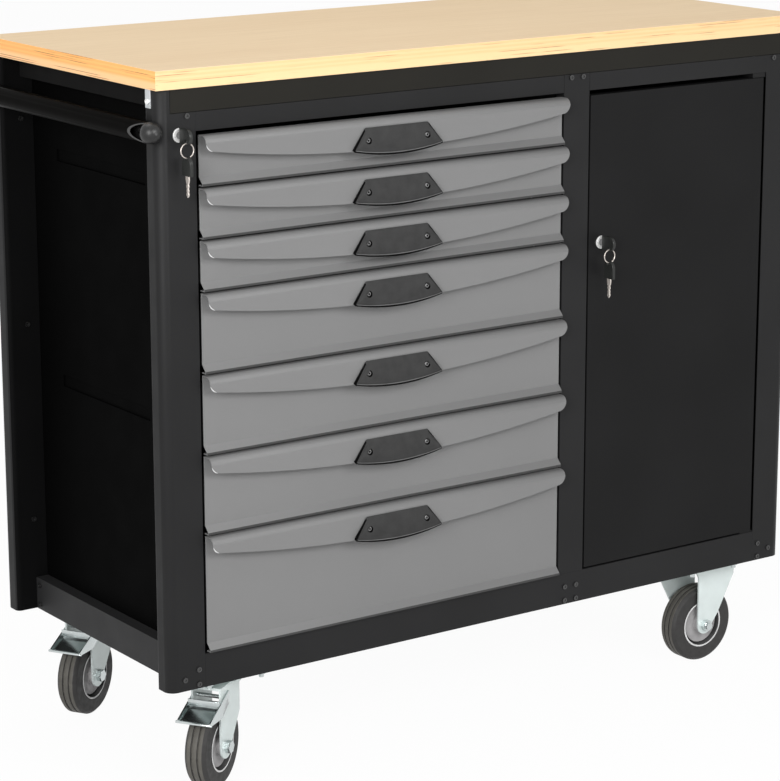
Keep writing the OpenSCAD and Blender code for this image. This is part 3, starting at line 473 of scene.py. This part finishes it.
def dress_side_panels():
    """The left panel is painted a deep black that stands for the shade on that side; the right one is like
    the back.
    """
    paint_faces("side_panels", (LEFT_PANEL_SHADE, BACK_BLACK), lambda place, normal: 1 if place.x > 0 else 0)
    edge_round(NODES["side_panels"], SHEET_ROUND)


def dress_posts():
    """The posts have painted shade on the rear folds that face forward, in the recess of the side panels."""
    paint_faces("corner_posts", (FRAME_BLACK, SHADE_BLACK),
                lambda place, normal: 1 if normal.y < -HALF and place.y > 0 else 0)
    edge_round(NODES["corner_posts"], FOLD_ROUND)


def dress_side_rails():
    """The upper side rails carry painted shade from the worktop, a flatter black than the lower ones."""
    low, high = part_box("side_rails")
    middle = (low.z + high.z) / 2
    paint_faces("side_rails", (RAIL_BLACK, RAIL_SHADE_BLACK), lambda place, normal: 1 if place.z > middle else 0)
    edge_round(NODES["side_rails"], FOLD_ROUND)


def dress_screws():
    """Black frame screws, but bright ones in the worktop brackets."""
    low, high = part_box("worktop_brackets")

    def in_bracket(place, normal):
        return 1 if low.z < place.z < high.z and low.y < place.y < high.y else 0

    paint_faces("frame_screws", (SCREW_BLACK, SCREW_BRIGHT), in_bracket)
    edge_round(NODES["frame_screws"], FOLD_ROUND)


def dress_handle():
    """The tube, with a painted highlight on its slanted cuts, and the moulded ends with their screws."""
    # Slanted cut faces get the painted highlight
    paint_faces("push_handle", (HANDLE_BLACK, HANDLE_RIM_HIGHLIGHT),
                lambda place, normal: 1 if abs(normal.y) > SLANT else 0)
    edge_round(NODES["push_handle"], CUT_ROUND)
    ends = NODES["handle_ends"]
    paint(ends, HANDLE_CAP)
    ends.data.materials.append(SCREW_BLACK)
    paint_small_solids(ends)
    edge_round(ends, TRIM_ROUND)


def build_floor_flanges():
    """Folded strips that carry the cabinet's floor out to the side rails, and its corners in the posts."""
    floor_low, floor_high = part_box("floor_panel")
    rail_low, rail_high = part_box("side_rails")
    sheet = floor_high.z - floor_low.z
    bm = bmesh.new()
    for inner, outer in ((floor_low.x, rail_low.x), (floor_high.x, rail_high.x)):
        fold = math.copysign(sheet, outer - inner)
        wall, top = outer - fold, floor_low.z + FLANGE_H
        profile = ((inner, floor_low.z), (wall, floor_low.z), (wall, top), (wall - fold, top),
                   (wall - fold, floor_high.z), (inner, floor_high.z))
        rows = [[bm.verts.new((x, y, z)) for x, z in profile] for y in (rail_low.y, rail_high.y)]
        bridge(bm, rows[0], rows[1])
        for row in rows:
            bm.faces.new(row)
        post_x = inner + math.copysign(POST_FOOT_W, outer - inner)
        for y in ((floor_low.y, rail_low.y - sheet), (rail_high.y + sheet, floor_high.y)):
            block(bm, (min(inner, post_x), y[0], floor_low.z), (max(inner, post_x), y[1], floor_high.z))
    bmesh.ops.recalc_face_normals(bm, faces=bm.faces)
    obj = new_object("floor_flanges", bm, BACK_BLACK)
    edge_round(obj, TRIM_ROUND)
    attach(obj, "cabinet")


for node in ("front_top_rails", "front_bottom_rail", "center_stile"):
    dress(node, FRAME_BLACK, FOLD_ROUND)
dress_posts()
dress("top_fascia", FASCIA_BLACK, TRIM_ROUND)
for node in ("back_panel", "floor_panel", "divider_panel", "door_hinges"):
    dress(node, BACK_BLACK, SHEET_ROUND)
dress_side_panels()
dress("door_leaf", DOOR_BLACK, FACE_ROUND)
dress("worktop_brackets", SLIDE_STEEL, SHEET_ROUND)
dress("drawer_slides", SLIDE_STEEL)
for i in DRAWERS:
    dress(f"drawer_{i}_box", BOX_BLACK)
    dress_front(i)
dress_side_rails()
dress_screws()
dress_handle()
dress("drawer_lock_barrel", LOCK_NICKEL, LOCK_ROUND, 3)
dress("door_lock_barrel", LOCK_NICKEL, LOCK_ROUND, 3)
build_floor_flanges()


# Casters

HUB_RIM_SHARE, HUB_DISC_SHARE = 0.565, 0.5


def roll_axis(end):
    for joint in frame["record"]["behaviour"]["joints"]:
        if joint["name"] == f"wheel_{end}_roll":
            return Vector(joint["axis"])


def dress_wheel(end):
    """Tread and side walls of a tyre, and the bright rim and dark groove of its hub."""
    low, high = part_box("tyre_" + end)
    centre, axis = (low + high) / 2, roll_axis(end)

    def tread(place, normal):
        return 1 if abs(normal.dot(axis)) < HALF else 0

    def hub_ring(place, normal):
        arm = place - centre
        radius = (arm - axis * arm.dot(axis)).length
        if radius > HUB_RIM_SHARE * WHEEL_R:
            return 1 if abs(normal.dot(axis)) > RIM_LEAN else 2
        return 2 if radius > HUB_DISC_SHARE * WHEEL_R else 0

    paint_faces("tyre_" + end, (TYRE_SIDE, TYRE_TREAD), tread)
    edge_round(NODES["tyre_" + end], SOFT_ROUND, 3)
    paint_faces("hub_" + end, (HUB_GREY, HUB_RIM, HUB_GROOVE), hub_ring)
    edge_round(NODES["hub_" + end], FACE_ROUND)


dress("swivel_plates", ZINC, FORK_ROUND)
for node in ("fork_front_left", "fork_rear_left", "fixed_forks"):
    paint(NODES[node], ZINC)
    NODES[node].data.materials.append(ZINC_BRIGHT)
    paint_small_solids(NODES[node])
    edge_round(NODES[node], FORK_ROUND)
for node in ("caster_bolts", "pedal_front_left", "pedal_rear_left"):
    dress(node, ZINC_BRIGHT, SHEET_ROUND)
for end in ("front_left", "rear_left", "front_right", "rear_right"):
    dress_wheel(end)


# Grips and the painted highlight beads of the pull lips

GRIP_TOP_SHARE, GRIP_SIDE_SHARE = 109 / 155, 32 / 40.5
GRIP_TOP_T = 2.0 * MM
GRIP_TOP_R, GRIP_FOOT_R = 4 * MM, 1.2 * MM
GRIP_HOOK_HALF, GRIP_HOOK_LOW, GRIP_HOOK_HIGH = 42 * MM, 3.7 * MM, 6.2 * MM
GRIP_SCREW_X, GRIP_SCREW_Z, GRIP_SCREW_R = 51 * MM, 18 * MM, 3.3 * MM
GRIP_HOLE_R, GRIP_HOLE_DEPTH = 4.9 * MM, 2.4 * MM
GRIP_DIP, GRIP_DIP_FROM, GRIP_DIP_SPAN, GRIP_DIP_INNER = 1.1 * MM, 0.35, 0.4, 0.9
GRIP_SIDE_DEPTH, GRIP_RIM_DEPTH, GRIP_BEAD_DEPTH = (0.6, 3.2 * MM), (0.45, 1.8 * MM), 0.1 * MM
# Shares of the grip's height from the top past which the rim gets painted shade, and the bead a painted
# highlight
GRIP_RIM_SHARE, GRIP_BEAD_SHARE = 0.08, 0.75

# How far the rows of a grip are drawn in from its outline, across and down, in mm
GRIP_BACK_IN, GRIP_SIDE_IN, GRIP_RIM_IN = (1.6, 1.6), (0.3, 0.3), (0.0, 0.0)
GRIP_BEAD_IN, GRIP_CREST_IN = (1.0, 2.8), (1.8, 4.2)
GRIP_DIP_IN, GRIP_FLOOR_IN, GRIP_FLAT_IN = (2.6, 5.0), (7.5, 8.5), (11.5, 11.5)

# Steps of a grip screw's head: share of its radius, height in mm
SCREW_STEPS = ((1.0, 0.1), (1.0, 1.0), (0.8, 1.5), (0.45, 1.5), (0.45, 0.6))

# Material slots of a grip: face, painted shade on edges and holes, screw, painted highlight on the bead
FACE, EDGE_SHADE, SCREW, BEAD_HIGHLIGHT = range(4)


def rounded(before, corner, after, radius, steps=6):
    """Points of the arc that rounds a corner of an outline."""
    a, b = (before - corner).normalized(), (after - corner).normalized()
    half = a.angle(b) / 2
    centre = corner + (a + b).normalized() * radius / math.sin(half)
    start, end = corner + a * radius / math.tan(half), corner + b * radius / math.tan(half)
    points = []
    for k in range(steps + 1):
        arm = (start - centre).lerp(end - centre, k / steps)
        points.append(centre + arm.normalized() * radius)
    return points


def grip_outline(width, height):
    """Outline of a grip from the front: a trapezium with a bowed lower edge, its top edge at zero."""
    top, low = width * GRIP_TOP_SHARE / 2, -height * GRIP_SIDE_SHARE
    sag = height + low
    radius = (width * width / 4 + sag * sag) / (2 * sag)
    reach = math.asin(width / 2 / radius)
    bow = []
    for k in range(25):
        angle = reach * (1 - k / 12)
        bow.append(Vector((radius * math.sin(angle), radius - height - radius * math.cos(angle))))
    left, right = Vector((-top, 0)), Vector((top, 0))
    points = rounded(bow[-1], left, right, GRIP_TOP_R) + rounded(left, right, bow[0], GRIP_TOP_R)
    points += rounded(right, bow[0], bow[1], GRIP_FOOT_R) + bow[2:-2]
    return points + rounded(bow[-2], bow[-1], left, GRIP_FOOT_R)


def build_grip(i):
    """A moulded grip: painted shade on its sides, lower rim and screw holes, a bead along the lower edge with
    a painted highlight, a dip above it and two sunk screws.
    """
    low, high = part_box(f"drawer_{i}_grip")
    lip_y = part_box(f"drawer_{i}_front")[0].y
    width, height, thick = high.x - low.x, high.z - low.z, lip_y - low.y
    mid_x, mid_z = (low.x + high.x) / 2, -height / 2
    outline = grip_outline(width, height)
    bm = bmesh.new()

    def face_y(v):
        return lip_y - GRIP_TOP_T - (thick - GRIP_TOP_T) * (-v / height)

    def dip(v):
        t = min(1.0, max(0.0, (-v / height - GRIP_DIP_FROM) / GRIP_DIP_SPAN))
        return GRIP_DIP * t * t * (3 - 2 * t)

    def row(y, inset):
        """The outline drawn in across and down, at the depth that y gives."""
        across, down = inset
        su, sv = 1 - 2 * across * MM / width, 1 - 2 * down * MM / height
        made = []
        for p in outline:
            u, v = p.x * su, mid_z + (p.y - mid_z) * sv
            made.append(bm.verts.new((mid_x + u, y(v), high.z + v)))
        return made

    def side_y(v, depth):
        share, most = depth
        return face_y(v) + min(most, (lip_y - face_y(v)) * share)

    def band_slot(band, share):
        """The slot of a face between two rows, from how far down the grip it lies: painted shade on the sides
        and lower rim, a painted highlight on the lower bead.
        """
        if band < 2 or (band == 2 and share > GRIP_RIM_SHARE):
            return EDGE_SHADE
        return BEAD_HIGHLIGHT if band == 3 and share > GRIP_BEAD_SHARE else FACE

    rows = [
        row(lambda v: lip_y, GRIP_BACK_IN),
        row(lambda v: side_y(v, GRIP_SIDE_DEPTH), GRIP_SIDE_IN),
        row(lambda v: side_y(v, GRIP_RIM_DEPTH), GRIP_RIM_IN),
        row(lambda v: face_y(v) + GRIP_BEAD_DEPTH, GRIP_BEAD_IN),
        row(face_y, GRIP_CREST_IN),
        row(lambda v: face_y(v) + dip(v), GRIP_DIP_IN),
        row(lambda v: face_y(v) + dip(v) * GRIP_DIP_INNER, GRIP_FLOOR_IN),
        row(face_y, GRIP_FLAT_IN),
    ]
    for band, (first, second) in enumerate(zip(rows, rows[1:])):
        for face in bridge(bm, first, second):
            share = (high.z - face.calc_center_median().z) / height
            face.material_index = band_slot(band, share)
    bm.faces.new(rows[0]).material_index = EDGE_SHADE
    holes = []
    for side in (-1, 1):
        centre = (mid_x + side * GRIP_SCREW_X, high.z - GRIP_SCREW_Z)
        holes.append((centre, disc(bm, centre, GRIP_HOLE_R, lambda z: face_y(z - high.z))))
    loops = [rows[-1]] + [h[1] for h in holes]
    edges = []
    for loop in loops:
        for k in range(len(loop)):
            pair = (loop[k], loop[(k + 1) % len(loop)])
            edges.append(bm.edges.get(pair) or bm.edges.new(pair))
    bmesh.ops.triangle_fill(bm, edges=edges, use_beauty=True)
    for centre, rim in holes:
        floor_y = face_y(centre[1] - high.z) + GRIP_HOLE_DEPTH
        foot = disc(bm, centre, GRIP_HOLE_R, lambda z: floor_y)
        bridge(bm, rim, foot, EDGE_SHADE)
        bm.faces.new(foot).material_index = EDGE_SHADE
        sink_screw(bm, centre, floor_y)
    block(bm, (mid_x - GRIP_HOOK_HALF, lip_y, low.z + GRIP_HOOK_LOW),
          (mid_x + GRIP_HOOK_HALF, high.y, low.z + GRIP_HOOK_HIGH))
    bmesh.ops.recalc_face_normals(bm, faces=bm.faces)
    obj = new_object(f"grip_{i}", bm, GRIP_BLACK, GRIP_SHADE, SCREW_STEEL, GRIP_BEAD_HIGHLIGHT)
    stand_for(obj, f"drawer_{i}_grip", f"drawer_{i}")


def sink_screw(bm, centre, y):
    """A screw head with a round edge and a socket painted in shade, in the floor of its hole."""
    rows = [disc(bm, centre, share * GRIP_SCREW_R, lambda z, up=up: y - up * MM) for share, up in SCREW_STEPS]
    for first, second in zip(rows, rows[1:]):
        bridge(bm, first, second, EDGE_SHADE if second is rows[-1] else SCREW)
    bm.faces.new(rows[0]).material_index = SCREW
    bm.faces.new(rows[-1]).material_index = EDGE_SHADE


for i in DRAWERS:
    build_grip(i)
    build_lip_highlight(i)


# Keys

KEY_T, BLADE_T = 5 * MM, 2 * MM
RING_R, RING_WIRE = 10 * MM, 0.9 * MM
HEAD_W, HEAD_LEN, HEAD_HOLE_R, HEAD_HOLE_UP = 22 * MM, 27 * MM, 3 * MM, 7 * MM
HEAD_GAP = 2.9 * MM
BLADE_W, BLADE_LEN = 8.5 * MM, 30 * MM

# Notches of a key's blade: share of its length, share of its width cut away
NOTCHES = ((0.08, 0.26), (0.16, 0.14), (0.25, 0.3), (0.33, 0.16),
           (0.42, 0.32), (0.52, 0.14), (0.62, 0.28), (0.7, 0.1))


def slab(bm, loops, x, thick, index):
    """A flat plate across X from an outline and its holes, given as points in Y and Z."""
    rows = []
    for side in (-1, 1):
        face_rows = [[bm.verts.new((x + side * thick / 2, p[0], p[1])) for p in loop] for loop in loops]
        edges = []
        for row in face_rows:
            edges += [bm.edges.new((row[k], row[(k + 1) % len(row)])) for k in range(len(row))]
        made = bmesh.ops.triangle_fill(bm, edges=edges, use_beauty=True)["geom"]
        for face in made:
            if isinstance(face, bmesh.types.BMFace):
                face.material_index = index
        rows.append(face_rows)
    for first, second in zip(*rows):
        bridge(bm, first, second, index)


def circle(y, z, radius, steps=20):
    """Points of a circle in Y and Z."""
    angles = [2 * math.pi * k / steps for k in range(steps)]
    return [(y + radius * math.cos(angle), z + radius * math.sin(angle)) for angle in angles]


def wire_ring(bm, x, y, z, index, steps=40, sides=8):
    """A closed ring of round wire in the XZ plane, round the given centre."""
    rows = []
    for k in range(steps):
        turn = 2 * math.pi * k / steps
        row = []
        for side in range(sides):
            angle = 2 * math.pi * side / sides
            reach = RING_R + RING_WIRE * math.cos(angle)
            place = (reach * math.cos(turn), RING_WIRE * math.sin(angle), reach * math.sin(turn))
            row.append(bm.verts.new((x + place[0], y + place[1], z + place[2])))
        rows.append(row)
    for first, second in zip(rows, rows[1:] + rows[:1]):
        bridge(bm, first, second, index)


def build_key_ring(lock):
    """The wire ring with the spare key: a moulded head with a hole, and a notched blade."""
    low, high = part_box(f"{lock}_key_ring")
    x, y, ring_z = (low.x + high.x) / 2, (low.y + high.y) / 2, high.z - RING_R - RING_WIRE
    bm = bmesh.new()
    wire_ring(bm, x, y, ring_z, 1)
    head_z = low.z + BLADE_LEN
    end_z = head_z + HEAD_LEN - HEAD_W / 2
    hole_z = end_z + HEAD_HOLE_UP
    outline = [(y - HEAD_W / 2, head_z), (y + HEAD_W / 2, head_z)]
    for k in range(17):
        angle = math.pi * k / 16
        outline.append((y + HEAD_W / 2 * math.cos(angle), end_z + HEAD_W / 2 * math.sin(angle)))
    slab(bm, [outline, circle(y, hole_z, HEAD_HOLE_R)], x, KEY_T, 0)
    blade = [(y, low.z)] + [(y + BLADE_W * (0.5 - cut), low.z + BLADE_LEN * share) for share, cut in NOTCHES]
    blade += [(y + BLADE_W / 2, head_z - BLADE_W / 2), (y + BLADE_W / 2, head_z + BLADE_T)]
    blade += [(2 * y - p[0], p[1]) for p in reversed(blade[1:])]
    slab(bm, [blade], x, BLADE_T, 1)
    bmesh.ops.recalc_face_normals(bm, faces=bm.faces)
    obj = new_object(f"{lock}_spare_key", bm, KEY_BLACK, KEY_NICKEL)
    bevel = obj.modifiers.new("edge_round", "BEVEL")
    bevel.width = KEY_ROUND
    bevel.limit_method = "ANGLE"
    stand_for(obj, f"{lock}_key_ring", f"{lock}_keys")


def dress_lock_key(lock):
    """The plug, the cam and the blade are nickel; the moulded head is black."""
    head_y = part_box(f"{lock}_lock_barrel")[0].y - HEAD_GAP

    def head(place, normal):
        return 0 if place.y < head_y else 1

    paint_faces(f"{lock}_lock_key", (KEY_BLACK, PLUG_NICKEL), head)
    edge_round(NODES[f"{lock}_lock_key"], SHEET_ROUND)


for lock in ("drawer", "door"):
    dress_lock_key(lock)
    build_key_ring(lock)


# Worktop

def build_worktop():
    """The plywood top, with its own material on the faces, the long edges and the ends."""
    bm = bmesh.new()
    bmesh.ops.create_cube(bm, size=1.0)
    size = TOP_HIGH - TOP_LOW
    bmesh.ops.scale(bm, vec=size, verts=bm.verts)
    bmesh.ops.translate(bm, vec=(TOP_HIGH + TOP_LOW) / 2, verts=bm.verts)
    bm.normal_update()
    for face in bm.faces:
        if abs(face.normal.x) > SQUARE:
            face.material_index = 2
        elif abs(face.normal.y) > SQUARE:
            face.material_index = 1
    obj = new_object("worktop_board", bm, VENEER, LONG_EDGE, END_EDGE)
    edge_round(obj, SOFT_ROUND, 3)
    stand_for(obj, "worktop", "cabinet")


build_worktop()


# Studio

FLOOR_WHITE, FLOOR_HALF, WORLD_LIGHT = 0.96, 30.0, 0.35
CAMERA_LEFT, CAMERA_BACK, CAMERA_UP = 1915.15 * MM, 3287.14 * MM, 1557.68 * MM
CAMERA_YAW, CAMERA_PITCH, CAMERA_ROLL = (math.radians(a) for a in (34.94, 13.95, -0.10))
SENSOR_MM, LENS_MM, CLIP_END = 36.0, 130.9, 100.0


def background_rays(tree):
    """One for the rays that show the background: from the camera, or off metal and through glass."""
    path = tree.nodes.new("ShaderNodeLightPath")
    shown = path.outputs["Is Camera Ray"]
    for kind in ("Is Glossy Ray", "Is Transmission Ray"):
        most = tree.nodes.new("ShaderNodeMath")
        most.operation = "MAXIMUM"
        tree.links.new(shown, most.inputs[0])
        tree.links.new(path.outputs[kind], most.inputs[1])
        shown = most.outputs[0]
    return shown


def build_floor():
    """A pale floor that shows white, and keeps the cabinet's soft shadow."""
    bm = bmesh.new()
    bmesh.ops.create_grid(bm, x_segments=1, y_segments=1, size=FLOOR_HALF)
    s = Shader("floor_white", (0.9, 0.9, 0.9), 0.9)
    glow = s.node("ShaderNodeEmission", Strength=1.0)
    glow.inputs["Color"].default_value = (1, 1, 1, 1)
    share = s.math("MULTIPLY", background_rays(s.tree), FLOOR_WHITE)
    mix = s.node("ShaderNodeMixShader")
    out = s.tree.nodes["Material Output"]
    s.link(share, mix.inputs[0])
    s.link(s.bsdf.outputs[0], mix.inputs[1])
    s.link(glow.outputs[0], mix.inputs[2])
    s.link(mix.outputs[0], out.inputs["Surface"])
    floor = new_object("floor", bm, s.material)


def build_world():
    """An even light from all round, in front of a white background."""
    world = bpy.data.worlds.new("studio")
    bpy.context.scene.world = world
    world.use_nodes = True
    tree = world.node_tree
    light = tree.nodes["Background"]
    light.inputs["Color"].default_value = (1, 1, 1, 1)
    light.inputs["Strength"].default_value = WORLD_LIGHT
    white = tree.nodes.new("ShaderNodeBackground")
    white.inputs["Color"].default_value = (1, 1, 1, 1)
    white.inputs["Strength"].default_value = 1.0
    mix = tree.nodes.new("ShaderNodeMixShader")
    tree.links.new(background_rays(tree), mix.inputs[0])
    tree.links.new(light.outputs[0], mix.inputs[1])
    tree.links.new(white.outputs[0], mix.inputs[2])
    tree.links.new(mix.outputs[0], tree.nodes["World Output"].inputs["Surface"])


def area_light(name, place, target, size, power):
    """A rectangular lamp, aimed at a target."""
    data = bpy.data.lights.new(name, "AREA")
    data.shape = "RECTANGLE"
    data.size, data.size_y = size
    data.energy = power
    lamp = bpy.data.objects.new(name, data)
    lamp.location = place
    lamp.rotation_euler = (Vector(target) - Vector(place)).to_track_quat("-Z", "Y").to_euler()
    bpy.context.scene.collection.objects.link(lamp)


def build_camera():
    """The photograph's camera, solved from the cabinet's edges and placed from its front left post."""
    place = Vector((LEFT_X - CAMERA_LEFT, FRONT_Y - CAMERA_BACK, CAMERA_UP))
    yaw, pitch, roll = CAMERA_YAW, CAMERA_PITCH, CAMERA_ROLL
    ahead = Vector((math.sin(yaw) * math.cos(pitch), math.cos(yaw) * math.cos(pitch), -math.sin(pitch)))
    right = Vector((math.cos(yaw), -math.sin(yaw), 0))
    up = right.cross(ahead)
    right, up = right * math.cos(roll) + up * math.sin(roll), up * math.cos(roll) - right * math.sin(roll)
    data = bpy.data.cameras.new("camera")
    data.sensor_fit = "HORIZONTAL"
    data.sensor_width = SENSOR_MM
    data.lens = LENS_MM
    data.clip_end = CLIP_END
    cam = bpy.data.objects.new("camera", data)
    cam.matrix_world = Matrix.Translation(place) @ Matrix((right, up, -ahead)).transposed().to_4x4()
    bpy.context.scene.collection.objects.link(cam)
    bpy.context.scene.camera = cam


build_floor()
build_world()
area_light("key", place=(-3.5, -2.7, 1.9), target=(-0.1, 0, 0.65), size=(2.0, 1.6), power=140)
area_light("front", place=(0.3, -4.1, 2.4), target=(0, 0, 0.6), size=(2.4, 1.6), power=105)
area_light("top", place=(-0.3, 0.6, 3.4), target=(-0.1, 0, 0.9), size=(2.2, 1.6), power=21)
build_camera()
bpy.context.scene.view_settings.view_transform = "Standard"
